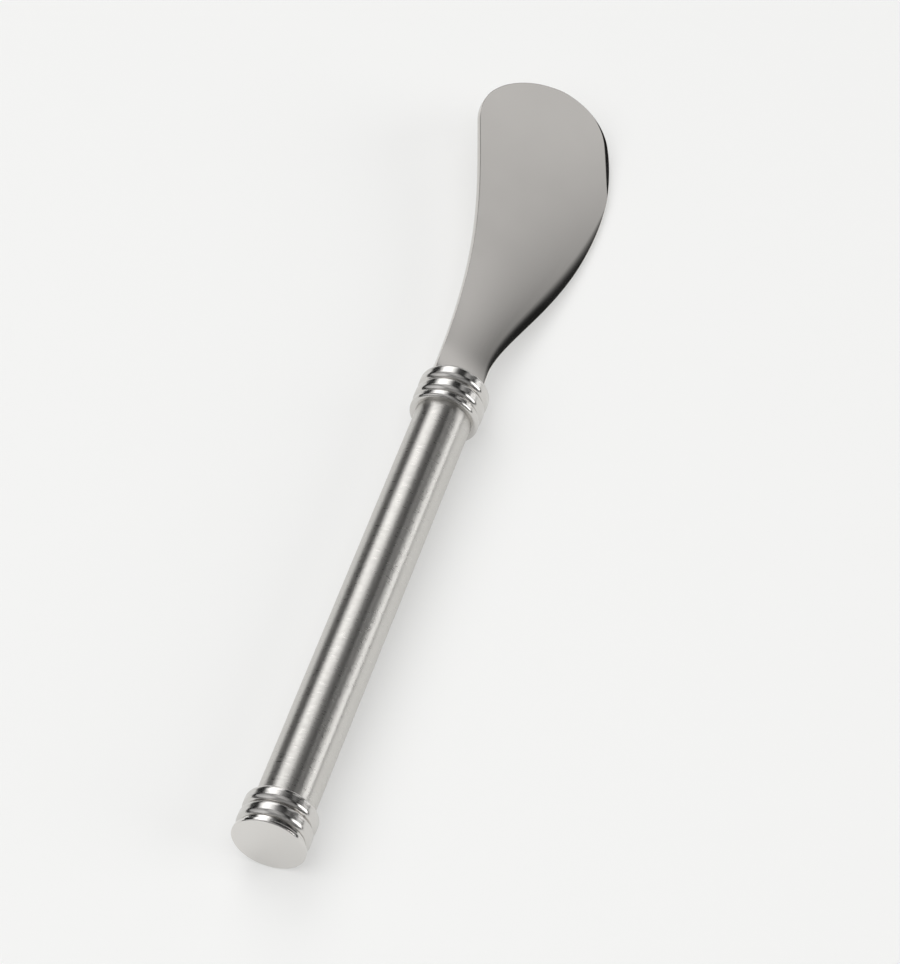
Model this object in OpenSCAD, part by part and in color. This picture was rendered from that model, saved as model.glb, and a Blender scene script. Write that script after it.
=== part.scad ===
// Butter knife with a turned tubular handle, ringed at both ends, and a broad flat spreading blade.
// The handle's axis is +Y and the origin is the middle of the flat butt face. With +Z up the knife lies as on
// a table: on its rings, and turned about its axis until the belly of the blade touches the table too.

/* [Handle tube] */
// Outside diameter of the handle tube
tube_d = 10; // [9:0.1:14]
// Wall thickness of the handle tube
tube_wall = 0.8; // [0.5:0.05:1.1]
// Bare length of the tube between the butt rings and the front rings
grip_l = 84.45; // [65:0.05:110]

/* [Rings] */
// Width of a full ring along the handle
ring_w = 2.95; // [2.6:0.05:3.6]
// Height of a full ring's crown above the tube
ring_rise = 1.25; // [1.05:0.05:1.5]
// Rounding of a full ring's two edges
ring_edge_r = 1; // [0.3:0.05:1.2]
// Width of the slim ring where the grip meets the front rings
slim_ring_w = 1.65; // [1.2:0.05:2.2]
// Height of the slim ring's crown above the tube
slim_ring_rise = 1.15; // [0.9:0.05:1.4]
// Rounding of the slim ring's two edges
slim_ring_edge_r = 0.55; // [0.2:0.05:0.55]

/* [End disc] */
// Thickness of the end disc's rim
disc_t = 0.75; // [0.6:0.05:1.5]
// Height of the end disc's rim above the tube
disc_rise = 1.25; // [1:0.05:1.5]
// Rounding of the rim's two edges
disc_edge_r = 0.2; // [0.05:0.05:0.25]
// Length of the groove between the rim and the first ring
disc_groove_l = 0.75; // [0.4:0.05:1.5]
// Height of the groove's floor above the tube
disc_groove_rise = 0.7; // [0.5:0.05:0.9]
// Depth of the end disc's spigot inside the tube
disc_spigot_l = 5; // [2:0.5:12]

/* [Front cap] */
// Thickness of the cap's flange on the tube's mouth
cap_t = 1; // [0.6:0.1:2]
// Depth of the cap's spigot inside the tube
cap_spigot_l = 6; // [3:0.5:12]

/* [Blade] */
// Length of the blade from its shoulder to its tip
blade_l = 73.7; // [55:0.1:100]
// Furthest reach of the spine from the handle's axis
spine_reach = 15.65; // [12:0.05:20]
// Furthest reach of the belly from the handle's axis
belly_reach = 13.2; // [9:0.05:17]
// How far the neck's spine edge stands in from the side of the tube
neck_spine_in = 0.05; // [0:0.05:1.2]
// How far the neck's belly edge stands in from the side of the tube
neck_belly_in = 0.75; // [0:0.05:1.2]
// Thickness of the neck where its shoulder meets the handle
neck_t = 2.2; // [2.1:0.1:3.2]
// Length over which the neck thins down to the blade
neck_swell_l = 9; // [4:0.5:14]
// Thickness of the blade along its spine, in front of the neck
blade_t = 1.3; // [1.1:0.1:1.6]
// Thickness of the blade at its tip
tip_t = 0.8; // [0.7:0.1:1.1]
// Rounding of the edges all round the blade
edge_round = 0.1; // [0.05:0.05:0.2]
// Greatest width of the flat bevel along the upper belly
bevel_w = 0.95; // [0.3:0.05:1.2]
// Greatest width of the rounded grind along the lower belly
belly_grind = 2; // [0.5:0.1:4]

/* [Tang] */
// Width of the tang
tang_w = 6; // [4.5:0.1:6.2]
// Thickness of the tang
tang_t = 1.9; // [1.2:0.1:2]
// Length of the tang behind the shoulder
tang_l = 48; // [20:1:60]
// Radius of the round notches that key the tang into the cement
notch_r = 0.9; // [0.4:0.1:1.2]
// Number of notches along each edge of the tang
notch_count = 3; // [1:1:5]

/* [Fits] */
// Clearance all round a ring on the tube, a plug in its bore and the tang in its hole
seat_gap = 0.03; // [0.01:0.01:0.08]

/* [Hidden] */
$fn = 96;
// A cut runs past the face that it opens, and the tang into the neck, by this much
overrun = 0.5;

// Radii of the turned parts
tube_r = tube_d/2;
bore_r = tube_r - tube_wall;
plug_r = bore_r - seat_gap;
disc_r = tube_r + disc_rise;
// The knife lies on the rings or the rim, whichever stand out furthest
rest_r = tube_r + max(ring_rise, slim_ring_rise, disc_rise);

// Distance of the neck's two edges from the handle's axis
neck_spine = tube_r - neck_spine_in;
neck_belly = tube_r - neck_belly_in;

// Stations along the handle, from the butt face
butt_outer_y = disc_t + disc_groove_l;
butt_inner_y = butt_outer_y + ring_w;
grip_y = butt_inner_y + ring_w;
front_slim_y = grip_y + grip_l;
front_middle_y = front_slim_y + slim_ring_w;
front_outer_y = front_middle_y + ring_w;
shoulder_y = front_outer_y + ring_w;
cap_y = shoulder_y - cap_t;
tube_l = cap_y - butt_outer_y;
fill_y = butt_outer_y + disc_spigot_l;
fill_end_y = cap_y - cap_spigot_l;
tang_back_y = shoulder_y - tang_l;
// The notches are spread evenly over the stretch of the tang that lies in the cement
function notch_y(i) = tang_back_y + (i - 1/2)*(fill_end_y - tang_back_y)/notch_count;

// Control points of the blade's outline, from the neck's spine edge round the tip to the belly.
// Each is a share of the reach on its side of the axis and a share of the blade's length.
spine_shares = [[-0.59, 0.55], [-0.955, 0.775]];
corner_shares = [[-1.14, 0.885], [-0.68, 0.962], [-0.42, 0.984]];
crest_shares = [[-0.3, 0.994], [-0.2, 1], [-0.12, 1]];
nose_shares = [[0.2, 1], [0.54, 0.97], [0.7, 0.91]];
belly_shares = [[0.86, 0.85], [1, 0.76], [1, 0.65]];
return_shares = [[1, 0.38]];
// Where the neck's two edges stop running straight, as shares of the blade's length
neck_spine_share = 0.4;
neck_belly_shares = [0.2, 0.08];
// Share of the blade's length over which the lower belly's grind comes and goes
grind_span_share = 0.74;
// Slope of the grind at the edge, as a share of its width
grind_slope_share = 0.16;
// Where the upper belly's bevel starts and ends, as shares of the blade's length
bevel_span_shares = [0.755, 0.99];
// Slope of the bevel, as a share of its width
bevel_slope_share = 0.27;
// Slope of each face's crown at the edges of the shoulder; the crown dies out towards the tip
crown_share = 0.06;

// Mesh of the blade: curve steps, stations from neck to tip, border steps, those of them that round the edge,
// and steps across the face
curve_steps = 40;
station_steps = 36;
border_steps = 6;
round_steps = 2;
face_steps = 5;

// A point of the blade's outline from its two shares
function place(share) =
    [share.x*(share.x < 0 ? spine_reach : belly_reach), shoulder_y + share.y*blade_l];

// A point on a cubic curve
function cubic(p, t) =
    pow(1 - t, 3)*p[0] + 3*pow(1 - t, 2)*t*p[1] + 3*(1 - t)*t*t*p[2] + pow(t, 3)*p[3];

// Points along a cubic curve, as a station and the distance across it
function curve_rows(p) =
    [for (i = [0:curve_steps]) let (q = cubic(p, i/curve_steps)) [q.y, q.x]];

spine_end = place(spine_shares[1]);
corner_end = place(corner_shares[2]);
tip = place(crest_shares[2]);
nose_end = place(nose_shares[2]);
belly_widest = place(belly_shares[2]);

spine_rows = concat(
    curve_rows([[-neck_spine, shoulder_y], [-neck_spine, shoulder_y + neck_spine_share*blade_l],
                place(spine_shares[0]), spine_end]),
    curve_rows([spine_end, place(corner_shares[0]), place(corner_shares[1]), corner_end]),
    curve_rows([corner_end, place(crest_shares[0]), place(crest_shares[1]), tip]));
belly_rows = concat(
    [[shoulder_y, neck_belly]],
    curve_rows([[neck_belly, shoulder_y + neck_belly_shares[1]*blade_l],
                [neck_belly, shoulder_y + neck_belly_shares[0]*blade_l],
                place(return_shares[0]), belly_widest]),
    curve_rows([belly_widest, place(belly_shares[1]), place(belly_shares[0]), nose_end]),
    curve_rows([nose_end, place(nose_shares[1]), place(nose_shares[0]), tip]));

// Stations crowd towards the neck and the tip, where the shape turns fastest
function station(i) = shoulder_y + blade_l*(1 - cos(180*i/station_steps))/2;

// The outline runs up the spine, over the tip and down the belly
last = 2*station_steps;
outline = [for (i = [0:last])
    let (y = station(min(i, last - i)))
    [i == station_steps ? tip.x : lookup(y, i < station_steps ? spine_rows : belly_rows), y]];

function unit(v) = v/norm(v);
function inward(i) =
    i == 0 ? [1, 0] :
    i == last ? [-1, 0] :
    let (d = unit(outline[i + 1] - outline[i - 1])) [d.y, -d.x];

// What the neck adds to half the blade's thickness, and half the thickness itself, at a station.
// The blade thins most towards its tip.
function swell(y) = (neck_t - blade_t)/2*pow(max(0, 1 - (y - shoulder_y)/neck_swell_l), 3);
function half_t(y) = (blade_t + (tip_t - blade_t)*pow((y - shoulder_y)/blade_l, 6))/2 + swell(y);

// The station of a point of the outline as a share of the blade's length, and the same for the belly only
function along_share(i) = (outline[i].y - shoulder_y)/blade_l;
function belly_share(i) = i < station_steps ? 0 : along_share(i);

// Width of the lower belly's grind at a point of the outline
function grind_w(i) =
    let (share = belly_share(i)/grind_span_share)
    belly_grind*max(0, 4*share*(1 - share));

// Width of the upper belly's bevel at a point of the outline
function bevel(i) =
    let (share = (belly_share(i) - bevel_span_shares[0])/(bevel_span_shares[1] - bevel_span_shares[0]))
    bevel_w*max(0, 4*share*(1 - share));

// Distance in from the edge at which a row of the border runs: round the edge first, then across to the face
function border_d(k, i) =
    k <= round_steps + 1 ? edge_round*(1 - cos(90*(k - 1)/round_steps)) :
    edge_round + max(edge_round, bevel(i), grind_w(i))*(k - 1 - round_steps)/(border_steps - 1 - round_steps);

// What the rounding, the bevel and the grind take off the face at a distance in from the edge
function drop(i, d) =
    edge_round - sqrt(pow(edge_round, 2) - pow(max(0, edge_round - d), 2))
    + bevel_slope_share*max(0, bevel(i) - d)
    + (grind_w(i) > d ? grind_slope_share*pow(grind_w(i) - d, 2)/(2*grind_w(i)) : 0);

// Height of the face's crown at a distance in from the edge
function crown(i, d) =
    i == station_steps ? 0 :
    crown_share*(1 - along_share(i))*d*(1 - d/norm(outline[last - i] - outline[i]));

// A point of the border, which starts at the middle of the edge
function border_point(k, i, side) =
    let (d = k == 0 ? 0 : border_d(k, i),
         p = outline[i] + d*inward(i))
    [p.x, p.y, k == 0 ? 0 : side*(half_t(p.y) + crown(i, d) - drop(i, d))];

// A point of the crowned face, on the chord that joins the two borders at a station
function face_point(j, m, side) =
    let (a = border_point(border_steps, j, side),
         b = border_point(border_steps, last - j, side),
         p = a + (b - a)*m/face_steps)
    [p.x, p.y, side*(half_t(p.y) + crown(j, norm([p.x, p.y] - outline[j])))];

// Numbering of the blade's points: the edge, the upper side, then the lower side
count = last + 1;
side_points = count*border_steps + station_steps*(face_steps - 1);
function border_id(k, i, side) =
    k == 0 ? i : count + (side > 0 ? 0 : side_points) + (k - 1)*count + i;
function face_id(j, m, side) =
    j == station_steps || m == 0 ? border_id(border_steps, j, side) :
    m == face_steps ? border_id(border_steps, last - j, side) :
    count*(border_steps + 1) + (side > 0 ? 0 : side_points) + j*(face_steps - 1) + m - 1;

function side_list(side) = concat(
    [for (k = [1:border_steps]) for (i = [0:last]) border_point(k, i, side)],
    [for (j = [0:station_steps - 1]) for (m = [1:face_steps - 1]) face_point(j, m, side)]);

// Two triangles of a four-cornered patch, turned outwards on either side
function patch(a, b, c, d, side) =
    side > 0 ? [[a, b, c], [a, c, d]] : [[c, b, a], [d, c, a]];

function border_faces(side) =
    [for (k = [0:border_steps - 1]) for (i = [0:last - 1])
        each patch(border_id(k, i, side), border_id(k, i + 1, side),
                   border_id(k + 1, i + 1, side), border_id(k + 1, i, side), side)];

function flat_faces(side) = concat(
    [for (j = [0:station_steps - 2]) for (m = [0:face_steps - 1])
        each patch(face_id(j, m, side), face_id(j + 1, m, side),
                   face_id(j + 1, m + 1, side), face_id(j, m + 1, side), side)],
    [for (m = [0:face_steps - 1])
        let (a = face_id(station_steps - 1, m, side),
             b = face_id(station_steps, 0, side),
             c = face_id(station_steps - 1, m + 1, side))
        side > 0 ? [a, b, c] : [c, b, a]]);

shoulder_face = concat(
    [for (k = [0:border_steps]) border_id(k, 0, 1)],
    [for (m = [1:face_steps - 1]) face_id(0, m, 1)],
    [for (k = [border_steps:-1:0]) border_id(k, last, 1)],
    [for (k = [1:border_steps]) border_id(k, last, -1)],
    [for (m = [face_steps - 1:-1:1]) face_id(0, m, -1)],
    [for (k = [border_steps:-1:1]) border_id(k, 0, -1)]);

// How far the belly reaches below the axis when the knife is turned, and the turn that brings it to the table
function belly_depth(turn) =
    max([for (i = [station_steps:last]) for (k = [0:border_steps])
        let (p = border_point(k, i, -1)) p.x*sin(turn) - p.z*cos(turn)]);
function lie(low, high, tries) =
    let (turn = (low + high)/2)
    tries == 0 ? turn :
    belly_depth(turn) > rest_r ? lie(low, turn, tries - 1) : lie(turn, high, tries - 1);
lie_tries = 24;
lie_turn = lie(0, 90, lie_tries);

// Turns the blade, and what is cut for its tang, as the knife lies
module lying() {
    rotate([0, lie_turn, 0]) children();
}

// Turns a shape made along +Z to lie along the handle, starting at a station
module along_handle(y) {
    translate([0, y, 0]) rotate([-90, 0, 0]) children();
}

// A ring with a flat crown and rounded edges, seated on the tube
module ring(y, w, rise, edge_r) {
    seat_r = tube_r + seat_gap;
    bend_r = tube_r + rise - edge_r;
    along_handle(y)
        rotate_extrude()
            intersection() {
                translate([seat_r, 0]) square([tube_r + rise - seat_r, w]);
                union() {
                    square([bend_r, w]);
                    translate([0, edge_r]) square([tube_r + rise, w - 2*edge_r]);
                    translate([bend_r, edge_r]) circle(edge_r);
                    translate([bend_r, w - edge_r]) circle(edge_r);
                }
            }
}

// The notched tang, reaching back from inside the neck, or the hole that it leaves with some gap all round
module tang(gap) {
    back_y = tang_back_y - gap;
    w = tang_w + 2*gap;
    t = tang_t + 2*gap;
    difference() {
        translate([-w/2, back_y, -t/2]) cube([w, shoulder_y + overrun - back_y, t]);
        for (i = [1:notch_count], side = [-1, 1])
            translate([side*tang_w/2, notch_y(i), -t/2 - overrun])
                cylinder(r = notch_r - gap, h = t + 2*overrun);
    }
}

module blade() {
    color([0.76, 0.75, 0.73])
        lying()
            union() {
                polyhedron(
                    points = concat([for (i = [0:last]) border_point(0, i, 1)], side_list(1), side_list(-1)),
                    faces = concat(border_faces(1), border_faces(-1),
                                   flat_faces(1), flat_faces(-1), [shoulder_face]),
                    convexity = 4);
                tang(0);
            }
}

module front_cap() {
    slot_w = tang_w + 2*seat_gap;
    slot_t = tang_t + 2*seat_gap;
    color([0.8, 0.8, 0.79])
        difference() {
            union() {
                along_handle(cap_y) cylinder(r = tube_r, h = cap_t);
                along_handle(fill_end_y) cylinder(r = plug_r, h = cap_spigot_l + cap_t);
            }
            lying()
                translate([-slot_w/2, fill_end_y - overrun, -slot_t/2])
                    cube([slot_w, cap_spigot_l + cap_t + 2*overrun, slot_t]);
        }
}

module front_ring_outer() {
    color([0.84, 0.84, 0.83]) ring(front_outer_y, ring_w, ring_rise, ring_edge_r);
}

module front_ring_middle() {
    color([0.84, 0.84, 0.83]) ring(front_middle_y, ring_w, ring_rise, ring_edge_r);
}

module front_ring_slim() {
    color([0.84, 0.84, 0.83]) ring(front_slim_y, slim_ring_w, slim_ring_rise, slim_ring_edge_r);
}

module handle_tube() {
    color([0.7, 0.7, 0.69])
        along_handle(butt_outer_y)
            difference() {
                cylinder(r = tube_r, h = tube_l);
                translate([0, 0, -overrun]) cylinder(r = bore_r, h = tube_l + 2*overrun);
            }
}

module butt_ring_inner() {
    color([0.84, 0.84, 0.83]) ring(butt_inner_y, ring_w, ring_rise, ring_edge_r);
}

module butt_ring_outer() {
    color([0.84, 0.84, 0.83]) ring(butt_outer_y, ring_w, ring_rise, ring_edge_r);
}

module end_disc() {
    color([0.82, 0.82, 0.8])
        along_handle(0)
            rotate_extrude()
                union() {
                    square([disc_r - disc_edge_r, disc_t]);
                    translate([0, disc_edge_r]) square([disc_r, disc_t - 2*disc_edge_r]);
                    translate([disc_r - disc_edge_r, disc_edge_r]) circle(disc_edge_r);
                    translate([disc_r - disc_edge_r, disc_t - disc_edge_r]) circle(disc_edge_r);
                    square([tube_r + disc_groove_rise, butt_outer_y]);
                    square([plug_r, fill_y]);
                }
}

module handle_cement() {
    color([0.45, 0.36, 0.27])
        difference() {
            along_handle(fill_y) cylinder(r = plug_r, h = fill_end_y - fill_y);
            lying() tang(seat_gap);
        }
}

blade();
front_cap();
front_ring_outer();
front_ring_middle();
front_ring_slim();
handle_tube();
butt_ring_inner();
butt_ring_outer();
end_disc();
handle_cement();
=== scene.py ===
"""Butter knife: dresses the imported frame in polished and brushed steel.

The knife lies on a pale floor in soft studio light, seen from the photograph's angle.
"""

import logging
import math
from dataclasses import dataclass
from enum import Enum

import bpy
import numpy as np
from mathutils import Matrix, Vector


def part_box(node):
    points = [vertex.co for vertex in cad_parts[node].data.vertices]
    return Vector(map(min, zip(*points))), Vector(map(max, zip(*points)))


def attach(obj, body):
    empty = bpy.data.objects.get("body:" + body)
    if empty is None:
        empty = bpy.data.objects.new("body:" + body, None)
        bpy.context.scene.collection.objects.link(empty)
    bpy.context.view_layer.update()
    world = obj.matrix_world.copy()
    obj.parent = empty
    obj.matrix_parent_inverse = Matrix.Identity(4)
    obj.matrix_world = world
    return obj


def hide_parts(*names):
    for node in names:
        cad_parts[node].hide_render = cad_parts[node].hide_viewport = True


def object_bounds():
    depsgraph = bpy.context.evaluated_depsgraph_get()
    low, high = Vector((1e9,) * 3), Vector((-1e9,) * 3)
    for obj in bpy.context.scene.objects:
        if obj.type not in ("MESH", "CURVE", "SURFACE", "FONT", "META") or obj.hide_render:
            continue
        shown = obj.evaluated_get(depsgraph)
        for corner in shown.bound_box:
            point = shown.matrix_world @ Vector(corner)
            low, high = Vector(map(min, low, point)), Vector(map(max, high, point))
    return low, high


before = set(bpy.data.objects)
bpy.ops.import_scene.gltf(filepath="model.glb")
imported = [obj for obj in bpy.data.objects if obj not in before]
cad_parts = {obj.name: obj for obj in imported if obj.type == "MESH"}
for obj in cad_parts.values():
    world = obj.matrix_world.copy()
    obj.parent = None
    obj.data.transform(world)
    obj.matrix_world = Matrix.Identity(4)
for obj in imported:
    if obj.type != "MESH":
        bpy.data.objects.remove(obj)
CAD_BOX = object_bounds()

LOG = logging.getLogger("butter_knife")
MM = 0.001
BODY = "root"
HALF_TURN = 180.0
# Nearly all values of a noise texture lie in this part of its range from 0 to 1.
NOISE_SPAN = (0.3, 0.7)

Colour = tuple[float, float, float, float]
Pair = tuple[float, float]
Place = tuple[float, float, float]
Ramp = tuple[float, float, float, float]
Faces = list[tuple[int, ...]]
SocketValue = float | tuple[float, ...] | bpy.types.NodeSocket


class Side(Enum):
    """The two faces of the blade."""

    UPPER = 1
    LOWER = -1


def srgb(code: str) -> Colour:
    """Turns an sRGB hex colour into linear light, by the sRGB standard's own numbers.

    Args:
        code: six hex digits after a hash.

    Returns:
        Linear red, green, blue and a full alpha.
    """
    shares = [int(code[i:i + 2], 16) / 255 for i in (1, 3, 5)]
    linear = [s / 12.92 if s <= 0.04045 else ((s + 0.055) / 1.055) ** 2.4 for s in shares]
    return (*linear, 1.0)


def add_node(tree: bpy.types.NodeTree, kind: str, settings: dict[str, str] | None = None,
             sockets: dict[str | int, SocketValue] | None = None) -> bpy.types.Node:
    """Adds a node, sets its properties and fills or links its inputs.

    Args:
        tree: the node tree that gets the node.
        kind: Blender's name of the node type.
        settings: properties of the node itself.
        sockets: inputs by name or number, each a constant or another node's output.

    Returns:
        The new node.
    """
    node = tree.nodes.new(kind)
    for name, value in (settings or {}).items():
        setattr(node, name, value)
    for key, value in (sockets or {}).items():
        if isinstance(value, bpy.types.NodeSocket):
            tree.links.new(value, node.inputs[key])
        else:
            node.inputs[key].default_value = value
    return node


def new_material(name: str) -> tuple[bpy.types.Material, bpy.types.NodeTree]:
    """Makes an empty node material.

    Args:
        name: the material's name.

    Returns:
        The material and its node tree.
    """
    material = bpy.data.materials.new(name)
    material.use_nodes = True
    material.node_tree.nodes.clear()
    return material, material.node_tree


def lines_per_metre(width_mm: float) -> float:
    """Noise scale that gives features of about this width in millimetres."""
    return 1 / (width_mm * MM)


@dataclass(frozen=True)
class MirrorSteel:
    """Stainless steel, ground and then buffed on a wheel to a mirror.

    It gives the eye clear soft-edged reflections, with a faint haze where the wheel ran. The wheel's own
    scratches are far too fine to show in the render, so they are drawn 0.35 mm wide, and very shallow.
    """

    name: str = "stainless_steel_buffed_mirror"
    colour: str = "#cbc8c4"
    roughness: Pair = (0.07, 0.13)
    haze_mm: float = 14.0
    haze_detail: float = 3.0
    scratch_l_mm: float = 6.0
    scratch_w_mm: float = 0.35
    scratch_detail: float = 2.0
    scratch_depth: float = 0.012
    bump_mm: float = 0.1

    def material(self) -> bpy.types.Material:
        """Builds the procedural material.

        Returns:
            The finished material.
        """
        material, tree = new_material(self.name)
        place = add_node(tree, "ShaderNodeTexCoord").outputs["Object"]
        haze = add_node(tree, "ShaderNodeTexNoise", None,
                        {"Vector": place, "Scale": lines_per_metre(self.haze_mm), "Detail": self.haze_detail})
        rough = add_node(tree, "ShaderNodeMapRange", None,
                         {"Value": haze.outputs["Fac"], "From Min": NOISE_SPAN[0], "From Max": NOISE_SPAN[1],
                          "To Min": self.roughness[0], "To Max": self.roughness[1]})
        along, across = lines_per_metre(self.scratch_l_mm), lines_per_metre(self.scratch_w_mm)
        stretch = add_node(tree, "ShaderNodeVectorMath", {"operation": "MULTIPLY"},
                           {0: place, 1: (across, along, across)})
        fine = add_node(tree, "ShaderNodeTexNoise", None,
                        {"Vector": stretch.outputs[0], "Scale": 1.0, "Detail": self.scratch_detail})
        bump = add_node(tree, "ShaderNodeBump", None,
                        {"Height": fine.outputs["Fac"], "Strength": self.scratch_depth,
                         "Distance": self.bump_mm * MM})
        shader = add_node(tree, "ShaderNodeBsdfPrincipled", None,
                          {"Base Color": srgb(self.colour), "Metallic": 1.0,
                           "Roughness": rough.outputs["Result"], "Normal": bump.outputs["Normal"]})
        add_node(tree, "ShaderNodeOutputMaterial", None, {"Surface": shader.outputs["BSDF"]})
        return material


@dataclass(frozen=True)
class TurnedSteel:
    """Stainless steel turned on a lathe and finished round the axis, from bright polish to brushed grain.

    It gives the eye reflections that stay sharp round the handle and smear along it, with fine round lines.
    The real lines are too fine to show in the render, so they are drawn 0.2 to 0.6 mm wide.
    """

    name: str
    colour: str
    roughness: Pair
    anisotropy: float
    line_mm: float
    arc_mm: float
    line_depth: float
    line_detail: float = 3.0
    bump_mm: float = 0.1
    smear_turn: float = 0.25

    def material(self) -> bpy.types.Material:
        """Builds the procedural material.

        Returns:
            The finished material.
        """
        material, tree = new_material(self.name)
        place = add_node(tree, "ShaderNodeTexCoord").outputs["Object"]
        arc, line = lines_per_metre(self.arc_mm), lines_per_metre(self.line_mm)
        stretch = add_node(tree, "ShaderNodeVectorMath", {"operation": "MULTIPLY"},
                           {0: place, 1: (arc, line, arc)})
        lines = add_node(tree, "ShaderNodeTexNoise", None,
                         {"Vector": stretch.outputs[0], "Scale": 1.0, "Detail": self.line_detail})
        rough = add_node(tree, "ShaderNodeMapRange", None,
                         {"Value": lines.outputs["Fac"], "From Min": NOISE_SPAN[0], "From Max": NOISE_SPAN[1],
                          "To Min": self.roughness[0], "To Max": self.roughness[1]})
        bump = add_node(tree, "ShaderNodeBump", None,
                        {"Height": lines.outputs["Fac"], "Strength": self.line_depth,
                         "Distance": self.bump_mm * MM})
        tangent = add_node(tree, "ShaderNodeTangent", {"direction_type": "RADIAL", "axis": "Y"})
        shader = add_node(tree, "ShaderNodeBsdfPrincipled", None,
                          {"Base Color": srgb(self.colour), "Metallic": 1.0,
                           "Roughness": rough.outputs["Result"],
                           "Anisotropic": self.anisotropy, "Anisotropic Rotation": self.smear_turn,
                           "Tangent": tangent.outputs["Tangent"], "Normal": bump.outputs["Normal"]})
        add_node(tree, "ShaderNodeOutputMaterial", None, {"Surface": shader.outputs["BSDF"]})
        return material


@dataclass(frozen=True)
class CastCement:
    """Dark resin cement, poured hot into the handle, with sand in it.

    It gives the eye a dull brown grain. It is hidden inside the handle.
    """

    name: str = "resin_cement_cast"
    dark: str = "#3b2a1e"
    light: str = "#6b5340"
    roughness: float = 0.85
    grain_mm: float = 0.6
    grain_detail: float = 4.0
    grain_depth: float = 0.5
    bump_mm: float = 0.2

    def material(self) -> bpy.types.Material:
        """Builds the procedural material.

        Returns:
            The finished material.
        """
        material, tree = new_material(self.name)
        place = add_node(tree, "ShaderNodeTexCoord").outputs["Object"]
        grain = add_node(tree, "ShaderNodeTexNoise", None,
                         {"Vector": place, "Scale": lines_per_metre(self.grain_mm),
                          "Detail": self.grain_detail})
        colour = add_node(tree, "ShaderNodeMix", {"data_type": "RGBA"},
                          {"Factor": grain.outputs["Fac"], "A": srgb(self.dark), "B": srgb(self.light)})
        bump = add_node(tree, "ShaderNodeBump", None,
                        {"Height": grain.outputs["Fac"], "Strength": self.grain_depth,
                         "Distance": self.bump_mm * MM})
        shader = add_node(tree, "ShaderNodeBsdfPrincipled", None,
                          {"Base Color": colour.outputs["Result"], "Roughness": self.roughness,
                           "Normal": bump.outputs["Normal"]})
        add_node(tree, "ShaderNodeOutputMaterial", None, {"Surface": shader.outputs["BSDF"]})
        return material


def bezier(points: np.ndarray, spans: int) -> np.ndarray:
    """Samples a cubic curve.

    Args:
        points: its four control points, as rows.
        spans: the number of spans.

    Returns:
        spans + 1 points along the curve.
    """
    t = np.linspace(0, 1, spans + 1)[:, None]
    return ((1 - t) ** 3 * points[0] + 3 * (1 - t) ** 2 * t * points[1]
            + 3 * (1 - t) * t ** 2 * points[2] + t ** 3 * points[3])


def respace(points: np.ndarray, spans: int) -> np.ndarray:
    """Spreads points evenly along a polyline.

    Args:
        points: the polyline, as rows.
        spans: the number of spans wanted.

    Returns:
        spans + 1 points at even spacing.
    """
    run = np.r_[0, np.cumsum(np.linalg.norm(np.diff(points, axis=0), axis=1))]
    want = np.linspace(0, run[-1], spans + 1)
    return np.stack([np.interp(want, run, points[:, c]) for c in range(points.shape[1])], axis=1)


def hump(part: np.ndarray) -> np.ndarray:
    """Rises from 0 at the start of a span to 1 in its middle, and is 0 again from its end on."""
    return np.clip(4 * part * (1 - part), 0, None)


@dataclass(frozen=True)
class BladeOutline:
    """Control points of the blade's outline, each as shares of the reach across and of the length.

    A share across is negative towards the spine. A single number is a share of the length, on the neck.
    """

    spine_root: float = 0.4
    spine_lean: Pair = (-0.59, 0.55)
    spine_end: Pair = (-0.955, 0.775)
    corner_out: Pair = (-1.14, 0.885)
    corner_in: Pair = (-0.68, 0.962)
    corner_end: Pair = (-0.42, 0.984)
    crest_in: Pair = (-0.3, 0.994)
    crest_flat: Pair = (-0.2, 1.0)
    tip: Pair = (-0.12, 1.0)
    nose_flat: Pair = (0.2, 1.0)
    nose_turn: Pair = (0.54, 0.97)
    nose_end: Pair = (0.7, 0.91)
    belly_out: Pair = (0.86, 0.85)
    belly_top: Pair = (1.0, 0.76)
    widest: Pair = (1.0, 0.65)
    belly_fall: Pair = (1.0, 0.38)
    belly_ease: float = 0.2
    neck_end: float = 0.08


@dataclass(frozen=True)
class SideNumbers:
    """Point numbers of one side of the blade's skin. Both sides share the first border row.

    Base is the side's first own number, count the points in a row, and rows the border rows of its own.
    """

    base: int
    count: int
    rows: int
    stations: int
    face_steps: int

    def edge(self, row: int, i: int) -> int:
        """Number of a border point."""
        return i if row == 0 else self.base + (row - 1) * self.count + i

    def face(self, chord: int, step: int) -> int:
        """Number of a face point, which is a border point at either end of its chord.

        Args:
            chord: the chord's number, from the shoulder to the tip.
            step: the place on the chord, from the spine to the belly.

        Returns:
            The point's number.
        """
        if chord == self.stations or step == 0:
            return self.edge(self.rows, chord)
        if step == self.face_steps:
            return self.edge(self.rows, self.count - 1 - chord)
        return self.base + self.rows * self.count + chord * (self.face_steps - 1) + step - 1

    def faces(self) -> Faces:
        """Lists the side's faces in the turning sense of the upper side.

        Returns:
            The faces of the border rows, of the chords and of the tip.
        """
        edge, face, last = self.edge, self.face, self.stations - 1
        border = [(edge(k, i), edge(k, i + 1), edge(k + 1, i + 1), edge(k + 1, i))
                  for k in range(self.rows) for i in range(self.count - 1)]
        chords = [(face(j, m), face(j + 1, m), face(j + 1, m + 1), face(j, m + 1))
                  for j in range(last) for m in range(self.face_steps)]
        tip = [(face(last, m), face(self.stations, 0), face(last, m + 1)) for m in range(self.face_steps)]
        return border + chords + tip

    def shoulder(self) -> list[int]:
        """Lists the rim of the shoulder, from the spine over the face to the belly.

        Returns:
            The points' numbers.
        """
        return ([self.edge(k, 0) for k in range(self.rows)]
                + [self.face(0, m) for m in range(self.face_steps)]
                + [self.edge(k, self.count - 1) for k in range(self.rows, -1, -1)])


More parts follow.
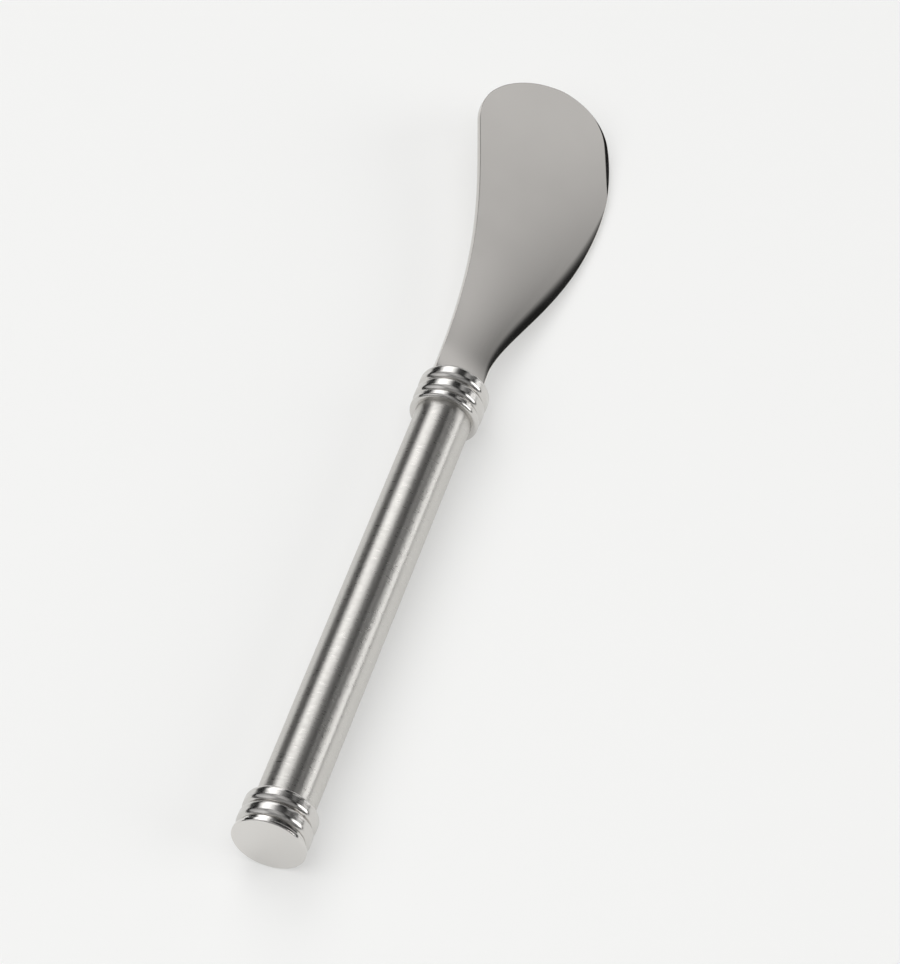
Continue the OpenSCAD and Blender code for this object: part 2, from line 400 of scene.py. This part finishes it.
@dataclass
class Blade:
    """The spreading blade with its neck and hidden tang, in millimetres in the blade's own plane.

    A name that ends in _t is a thickness, in _l a length, in _w a width and in _r a radius. The spans of
    bevel and grind are shares of the length, and a slope is a drop over a run.
    """

    shares: BladeOutline = BladeOutline()
    shoulder_y: float = 99.4
    length: float = 73.7
    spine_reach: float = 15.60
    belly_reach: float = 13.16
    neck_spine: float = 4.95
    neck_belly: float = 4.25
    neck_t: float = 2.2
    neck_swell_l: float = 9.0
    swell_power: int = 3
    blade_t: float = 1.3
    tip_t: float = 0.8
    taper_power: int = 6
    edge_round: float = 0.1
    crown: float = 0.06
    bevel_w: float = 0.95
    bevel_span: Pair = (0.755, 0.99)
    bevel_slope: float = 0.27
    belly_grind: float = 2.0
    grind_span: float = 0.74
    grind_slope: float = 0.16
    face_inset: float = 0.05
    tang_w: float = 6.0
    tang_t: float = 1.9
    tang_l: float = 48.0
    tang_root: float = 0.5
    notch_r: float = 0.9
    notch_ys: tuple[float, ...] = (58.23, 71.9, 85.57)
    notch_steps: int = 12
    curve_spans: int = 300
    stations: int = 220
    round_steps: int = 5
    ground_steps: int = 9
    face_steps: int = 24
    turn_tries: int = 40
    sharp_deg: float = 40.0
    # Floors that keep a division away from zero at the tip and where there is no grind.
    least_chord: float = 0.01
    least_grind: float = 0.001

    def place(self, share: Pair) -> Pair:
        """Puts a control point given as shares of reach and length into the blade's plane."""
        reach = self.spine_reach if share[0] < 0 else self.belly_reach
        return (share[0] * reach, self.shoulder_y + share[1] * self.length)

    def on_neck(self, across: float, share: float) -> Pair:
        """A point this far across, at a share of the length from the shoulder."""
        return (across, self.shoulder_y + share * self.length)

    def outline(self) -> np.ndarray:
        """Draws the outline up the spine, over the tip and down the belly.

        Returns:
            Points across and along the blade, evenly spaced on either side of the tip.
        """
        put, neck, s = self.place, self.on_neck, self.shares
        spine_foot, belly_foot = neck(-self.neck_spine, 0), neck(self.neck_belly, 0)
        spine_end, corner_end, tip = put(s.spine_end), put(s.corner_end), put(s.tip)
        nose_end, widest, neck_end = put(s.nose_end), put(s.widest), neck(self.neck_belly, s.neck_end)
        spine = [
            (spine_foot, neck(-self.neck_spine, s.spine_root), put(s.spine_lean), spine_end),
            (spine_end, put(s.corner_out), put(s.corner_in), corner_end),
            (corner_end, put(s.crest_in), put(s.crest_flat), tip),
        ]
        belly = [
            (tip, put(s.nose_flat), put(s.nose_turn), nose_end),
            (nose_end, put(s.belly_out), put(s.belly_top), widest),
            (widest, put(s.belly_fall), neck(self.neck_belly, s.belly_ease), neck_end),
        ]
        up = np.concatenate([bezier(np.array(curve), self.curve_spans) for curve in spine])
        down = np.concatenate([bezier(np.array(curve), self.curve_spans) for curve in belly]
                              + [np.array([belly_foot])])
        return np.concatenate([respace(up, self.stations)[:-1], respace(down, self.stations)])

    def half_t(self, y: np.ndarray) -> np.ndarray:
        """Works out half the blade's thickness, with the neck's swell and the taper to the tip.

        Args:
            y: places along the handle's axis.

        Returns:
            Half the thickness at each place, before crown and grind.
        """
        taper = (self.tip_t - self.blade_t) * ((y - self.shoulder_y) / self.length) ** self.taper_power
        ease = np.clip(1 - (y - self.shoulder_y) / self.neck_swell_l, 0, None)
        return (self.blade_t + taper + (self.neck_t - self.blade_t) * ease ** self.swell_power) / 2

    def side_rows(self) -> tuple[np.ndarray, np.ndarray]:
        """Works out the upper side as rows of points.

        Returns:
            The border rows, from the edge's middle to the face, and the face points between the borders.
        """
        edge = self.outline()
        run = np.gradient(edge, axis=0)
        run /= np.linalg.norm(run, axis=1)[:, None]
        inward = np.stack([run[:, 1], -run[:, 0]], axis=1)
        inward[0], inward[-1] = (1, 0), (-1, 0)
        chord = np.maximum(np.linalg.norm(edge - edge[::-1], axis=1), self.least_chord)
        along = (edge[:, 1] - self.shoulder_y) / self.length
        crown = self.crown * (1 - along)
        belly_share = np.where(np.arange(len(edge)) < self.stations, 0, along)
        grind = self.belly_grind * hump(belly_share / self.grind_span)
        start, end = self.bevel_span
        bevel = self.bevel_w * hump((belly_share - start) / (end - start))
        ground = np.maximum(np.maximum(bevel, grind), self.edge_round)
        insets = [self.edge_round * (1 - math.cos(a)) for a in np.linspace(0, math.pi / 2, self.round_steps)]
        insets += [self.edge_round + ground * s for s in np.linspace(0, 1, self.ground_steps)[1:]]
        insets.append(self.edge_round + ground + self.face_inset)
        rows = [np.column_stack([edge, np.zeros(len(edge))])]
        for inset in insets:
            p = edge + inward * np.broadcast_to(inset, len(edge))[:, None]
            bend = np.clip(self.edge_round - inset, 0, None)
            round_drop = self.edge_round - np.sqrt(self.edge_round ** 2 - bend ** 2)
            bevel_drop = self.bevel_slope * np.clip(bevel - inset, 0, None)
            grind_drop = (self.grind_slope * np.clip(grind - inset, 0, None) ** 2
                          / (2 * np.maximum(grind, self.least_grind)))
            rise = crown * inset * (1 - inset / chord)
            height = self.half_t(p[:, 1]) + rise - (round_drop + bevel_drop + grind_drop)
            rows.append(np.column_stack([p, height]))
        border = np.array(rows)
        spine, belly = border[-1, :self.stations], border[-1, ::-1][:self.stations]
        steps = (np.arange(1, self.face_steps) / self.face_steps)[None, :, None]
        face = spine[:, None, :] + (belly - spine)[:, None, :] * steps
        inset = np.linalg.norm(face[..., :2] - edge[:self.stations, None, :], axis=2)
        rise = crown[:self.stations, None] * inset * (1 - inset / chord[:self.stations, None])
        face[..., 2] = self.half_t(face[..., 1]) + rise
        return border, face

    def skin(self) -> tuple[np.ndarray, Faces]:
        """Joins both sides and the shoulder into one closed skin, still flat in the blade's plane.

        Returns:
            Points in millimetres and the faces.
        """
        border, face = self.side_rows()
        rows, count = len(border) - 1, border.shape[1]
        points = [border[0]]
        faces: Faces = []
        rims: dict[Side, list[int]] = {}
        base = count
        for side in Side:
            flip = np.array([1, 1, side.value])
            points += [border[1:].reshape(-1, 3) * flip, face.reshape(-1, 3) * flip]
            numbers = SideNumbers(base, count, rows, self.stations, self.face_steps)
            faces += numbers.faces() if side is Side.UPPER else [f[::-1] for f in numbers.faces()]
            rims[side] = numbers.shoulder()
            base += rows * count + face.shape[0] * face.shape[1]
        faces.append(tuple(rims[Side.UPPER] + rims[Side.LOWER][-2:0:-1]))
        return np.concatenate(points), faces

    def tang(self) -> tuple[np.ndarray, Faces]:
        """Cuts the notched tang, which reaches back from inside the neck.

        Returns:
            Points in millimetres and the faces.
        """
        half = self.tang_w / 2
        arc = np.linspace(-math.pi / 2, math.pi / 2, self.notch_steps + 1)
        rim = [(half, self.shoulder_y - self.tang_l)]
        rim += [(half - self.notch_r * math.cos(a), y + self.notch_r * math.sin(a))
                for y in self.notch_ys for a in arc]
        rim.append((half, self.shoulder_y + self.tang_root))
        rim += [(-x, y) for x, y in reversed(rim)]
        n = len(rim)
        points = np.array([(x, y, z) for z in (self.tang_t / 2, -self.tang_t / 2) for x, y in rim])
        faces = [tuple(range(n)), tuple(range(2 * n - 1, n - 1, -1))]
        faces += [(i, i + n, (i + 1) % n + n, (i + 1) % n) for i in range(n)]
        return points, faces

    def resting_turn(self, points: np.ndarray) -> float:
        """Finds the turn about the handle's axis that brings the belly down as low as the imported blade's.

        Args:
            points: the flat skin in millimetres.

        Returns:
            The turn in radians.
        """
        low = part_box("blade")[0].z / MM
        flat, steep = 0.0, math.pi / 2
        for _ in range(self.turn_tries):
            turn = (flat + steep) / 2
            depth = (points[:, 2] * math.cos(turn) - points[:, 0] * math.sin(turn)).min()
            flat, steep = (flat, turn) if depth < low else (turn, steep)
        return turn

    def build(self) -> bpy.types.Object:
        """Makes the blade and turns it about the handle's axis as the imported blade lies.

        Returns:
            The blade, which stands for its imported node.
        """
        points, faces = self.skin()
        turn = self.resting_turn(points)
        tang_points, tang_faces = self.tang()
        faces = faces + [tuple(i + len(points) for i in f) for f in tang_faces]
        points = np.concatenate([points, tang_points])
        x = points[:, 0] * math.cos(turn) + points[:, 2] * math.sin(turn)
        z = points[:, 2] * math.cos(turn) - points[:, 0] * math.sin(turn)
        mesh = bpy.data.meshes.new("blade_skin")
        mesh.from_pydata((np.column_stack([x, points[:, 1], z]) * MM).tolist(), [], faces)
        mesh.shade_smooth()
        mesh.set_sharp_from_angle(angle=math.radians(self.sharp_deg))
        piece = bpy.data.objects.new("blade_skin", mesh)
        bpy.context.scene.collection.objects.link(piece)
        LOG.info("blade turned by %.2f degrees", math.degrees(turn))
        return piece

    def dress(self, piece: bpy.types.Object, finish: MirrorSteel) -> None:
        """Gives the blade its finish and ties it to the frame.

        Args:
            piece: the blade's mesh.
            finish: the steel that it is made of.
        """
        piece.data.materials.append(finish.material())
        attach(piece, BODY)
        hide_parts("blade")


@dataclass
class Handle:
    """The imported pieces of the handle, which keep their shape and get their finishes."""

    finishes: dict[tuple[str, ...], TurnedSteel | CastCement]

    def dress(self) -> list[str]:
        """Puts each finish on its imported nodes.

        Returns:
            The names of the dressed nodes.
        """
        done = []
        for names, finish in self.finishes.items():
            material = finish.material()
            for name in names:
                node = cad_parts[name]
                node.data.materials.clear()
                node.data.materials.append(material)
                done.append(name)
        return done


@dataclass(frozen=True)
class SoftPanel:
    """A soft light panel of the studio, by its place in the sky in degrees and its brightness.

    Facing is counted from straight ahead (+Y) towards the right (+X). Across and up each hold four angles:
    where the light starts, is full, starts to fade and ends.
    """

    facing: float
    across: Ramp
    up: Ramp
    light: float


SOFT_PANELS = (
    # In front on the left, which gives the bright band along the left of the tube.
    SoftPanel(facing=-38, across=(-34, -6, 14, 42), up=(24, 34, 50, 60), light=2.7),
    # Lower in front on the left.
    SoftPanel(facing=-20, across=(-18, -12, 12, 18), up=(6, 12, 26, 34), light=1.5),
    # Low and straight ahead.
    SoftPanel(facing=0, across=(-24, -20, 21, 25), up=(-1, 1, 9, 13), light=1.0),
    # In front on the right, which fills the face of the blade.
    SoftPanel(facing=30, across=(-8, -4, 0, 16), up=(15, 19, 40, 46), light=1.0),
    # Low in front on the right.
    SoftPanel(facing=48, across=(-7, -4, 4, 7), up=(-1, 1, 14, 20), light=2.4),
    # On the right, which gives the white patches on the right of the rings.
    SoftPanel(facing=85, across=(-20, -15, 16, 22), up=(4, 12, 36, 44), light=3.6),
    # Behind on the left.
    SoftPanel(facing=-120, across=(-42, -26, 30, 45), up=(8, 18, 50, 66), light=0.7),
    # Overhead, one on the left and one all round, which lighten the dark band in the middle of the tube.
    SoftPanel(facing=-104, across=(-145, -110, 110, 145), up=(55, 71, 91, 92), light=0.35),
    SoftPanel(facing=180, across=(-181, -180.5, 180.5, 181), up=(55, 71, 91, 92), light=0.4),
    # Behind.
    SoftPanel(facing=180, across=(-70, -50, 50, 70), up=(5, 25, 45, 65), light=0.4),
)


@dataclass
class Studio:
    """Pale floor, soft light and the camera, in metres and watts.

    The sensor is in millimetres, and the focal length is in pixels of the photograph.
    """

    floor_z: float
    panels: tuple[SoftPanel, ...]
    room: float = 0.02
    backdrop: str = "#f3f3f2"
    floor_colour: str = "#c0c0bf"
    glow: float = 0.415
    floor_side: float = 3.0
    lamp_size: float = 2.4
    lamp_power: float = 14.2
    lamp_place: Place = (-0.25, -0.15, 1.2)
    lamp_aim: Place = (0, 0.085, 0)
    sensor_mm: float = 36.0
    focal_px: int = 3849
    image_px: int = 964
    near_clip: float = 0.01
    camera_place: Place = (0.12850, -0.31743, 0.5005)
    camera_aim: Place = (0.00375, 0.0839, -0.00623)

    def panel_light(self, tree: bpy.types.NodeTree, panel: SoftPanel, azimuth: bpy.types.NodeSocket,
                    elevation: bpy.types.NodeSocket) -> bpy.types.NodeSocket:
        """Works out the light of one panel over the sky.

        Args:
            tree: the world's node tree.
            panel: the panel.
            azimuth: the compass direction in degrees.
            elevation: the height above the horizon in degrees.

        Returns:
            The panel's brightness in each direction.
        """
        off = add_node(tree, "ShaderNodeMath", {"operation": "SUBTRACT"}, {0: azimuth, 1: panel.facing})
        aside = add_node(tree, "ShaderNodeMath", {"operation": "WRAP"},
                         {0: off.outputs[0], 1: HALF_TURN, 2: -HALF_TURN})
        share: SocketValue = panel.light
        for angle, ramp in ((aside.outputs[0], panel.across), (elevation, panel.up)):
            for dark, full in ((ramp[0], ramp[1]), (ramp[3], ramp[2])):
                edge = add_node(tree, "ShaderNodeMapRange", {"interpolation_type": "SMOOTHSTEP"},
                                {"Value": angle, "From Min": min(dark, full), "From Max": max(dark, full),
                                 "To Min": float(full < dark), "To Max": float(full > dark)})
                share = add_node(tree, "ShaderNodeMath", {"operation": "MULTIPLY"},
                                 {0: edge.outputs["Result"], 1: share}).outputs[0]
        return share

    def build_world(self) -> None:
        """Lights the room with the soft panels, which the steel reflects."""
        world = bpy.data.worlds.new("studio_light")
        bpy.context.scene.world = world
        world.use_nodes = True
        tree = world.node_tree
        tree.nodes.clear()
        place = add_node(tree, "ShaderNodeTexCoord").outputs["Generated"]
        way = add_node(tree, "ShaderNodeSeparateXYZ", None, {0: place})
        turn = add_node(tree, "ShaderNodeMath", {"operation": "ARCTAN2"},
                        {0: way.outputs["X"], 1: way.outputs["Y"]})
        azimuth = add_node(tree, "ShaderNodeMath", {"operation": "DEGREES"}, {0: turn.outputs[0]})
        rise = add_node(tree, "ShaderNodeMath", {"operation": "ARCSINE"}, {0: way.outputs["Z"]})
        elevation = add_node(tree, "ShaderNodeMath", {"operation": "DEGREES"}, {0: rise.outputs[0]})
        total: SocketValue = self.room
        for panel in self.panels:
            share = self.panel_light(tree, panel, azimuth.outputs[0], elevation.outputs[0])
            total = add_node(tree, "ShaderNodeMath", {"operation": "ADD"}, {0: share, 1: total}).outputs[0]
        sky = add_node(tree, "ShaderNodeBackground", None, {"Strength": total})
        back = add_node(tree, "ShaderNodeBackground", None, {"Color": srgb(self.backdrop)})
        seen = add_node(tree, "ShaderNodeLightPath").outputs["Is Camera Ray"]
        mix = add_node(tree, "ShaderNodeMixShader", None, {0: seen, 1: sky.outputs[0], 2: back.outputs[0]})
        add_node(tree, "ShaderNodeOutputWorld", None, {"Surface": mix.outputs[0]})

    def build_lamp(self) -> None:
        """Hangs the wide soft lamp that brightens the floor, on the left so that the shadow falls right."""
        data = bpy.data.lights.new("overhead_softbox", "AREA")
        data.shape = "DISK"
        data.size = self.lamp_size
        data.energy = self.lamp_power
        lamp = bpy.data.objects.new("overhead_softbox", data)
        lamp.location = self.lamp_place
        lamp.rotation_euler = (Vector(self.lamp_aim) - lamp.location).to_track_quat("-Z", "Y").to_euler()
        lamp.visible_glossy = False
        lamp.visible_camera = False
        bpy.context.scene.collection.objects.link(lamp)

    def build_floor(self) -> None:
        """Lays the floor under the knife."""
        half = self.floor_side / 2
        corners = ((-1, -1), (1, -1), (1, 1), (-1, 1))
        mesh = bpy.data.meshes.new("floor")
        mesh.from_pydata([(x * half, y * half, self.floor_z) for x, y in corners], [], [(0, 1, 2, 3)])
        floor = bpy.data.objects.new("floor", mesh)
        bpy.context.scene.collection.objects.link(floor)
        # Opal acrylic lit from below: it gives the eye an even pale field that still takes soft shadows.
        material, tree = new_material("opal_acrylic_light_table")
        sheet = add_node(tree, "ShaderNodeBsdfDiffuse", None, {"Color": srgb(self.floor_colour)})
        glow = add_node(tree, "ShaderNodeEmission", None,
                        {"Color": srgb(self.backdrop), "Strength": self.glow})
        both = add_node(tree, "ShaderNodeAddShader", None, {0: sheet.outputs[0], 1: glow.outputs[0]})
        add_node(tree, "ShaderNodeOutputMaterial", None, {"Surface": both.outputs[0]})
        mesh.materials.append(material)

    def build_camera(self) -> None:
        """Stands the camera where the photograph was taken from."""
        data = bpy.data.cameras.new("camera")
        data.sensor_fit = "VERTICAL"
        data.sensor_height = self.sensor_mm
        data.lens = self.sensor_mm * self.focal_px / self.image_px
        data.clip_start = self.near_clip
        camera = bpy.data.objects.new("camera", data)
        camera.location = self.camera_place
        aim = Vector(self.camera_aim) - camera.location
        camera.rotation_euler = aim.to_track_quat("-Z", "Y").to_euler()
        bpy.context.scene.collection.objects.link(camera)
        bpy.context.scene.camera = camera


def main() -> None:
    """Builds the knife and its studio, and reports each piece."""
    logging.basicConfig(level=logging.INFO, format="%(message)s")
    bpy.context.scene.view_settings.view_transform = "Standard"
    blade = Blade()
    skin = blade.build()
    blade.dress(skin, MirrorSteel())
    LOG.info("built %s with %d faces", skin.name, len(skin.data.polygons))
    # Brushed round with a belt: broad soft bands along the tube, crossed by a fine grain.
    brushed = TurnedSteel(name="stainless_steel_brushed_round", colour="#cfcdc9", roughness=(0.26, 0.36),
                          anisotropy=0.9, line_mm=0.3, arc_mm=1.2, line_depth=0.2)
    # Turned and then polished: crisp light and dark patches with only a trace of the tool.
    bright = TurnedSteel(name="stainless_steel_turned_polished", colour="#d2d0cd", roughness=(0.16, 0.26),
                         anisotropy=0.75, line_mm=0.2, arc_mm=3.0, line_depth=0.08)
    # Faced flat and polished: one even, slightly cloudy tone, painted lighter than the other steel as painted
    # light that stands in for the bright floor reflected in the face.
    faced_painted_bright = TurnedSteel(name="stainless_steel_faced_polished_painted_bright", colour="#dad8d5", roughness=(0.10, 0.20),
                        anisotropy=0.0, line_mm=0.6, arc_mm=2.0, line_depth=0.03)
    # Turned and left so: a dull grey with round tool lines.
    dull = TurnedSteel(name="stainless_steel_turned", colour="#b9b7b3", roughness=(0.3, 0.45),
                       anisotropy=0.6, line_mm=0.2, arc_mm=4.0, line_depth=0.1)
    handle = Handle({
        ("handle_tube",): brushed,
        ("front_ring_outer", "front_ring_middle", "front_ring_slim",
         "butt_ring_inner", "butt_ring_outer"): bright,
        ("end_disc",): faced_painted_bright,
        ("front_cap",): dull,
        ("handle_cement",): CastCement(),
    })
    for name in handle.dress():
        LOG.info("dressed %s", name)
    studio = Studio(floor_z=CAD_BOX[0].z, panels=SOFT_PANELS)
    studio.build_floor()
    studio.build_world()
    studio.build_lamp()
    studio.build_camera()
    LOG.info("set floor, light and camera")


if __name__ == "__main__":
    main()
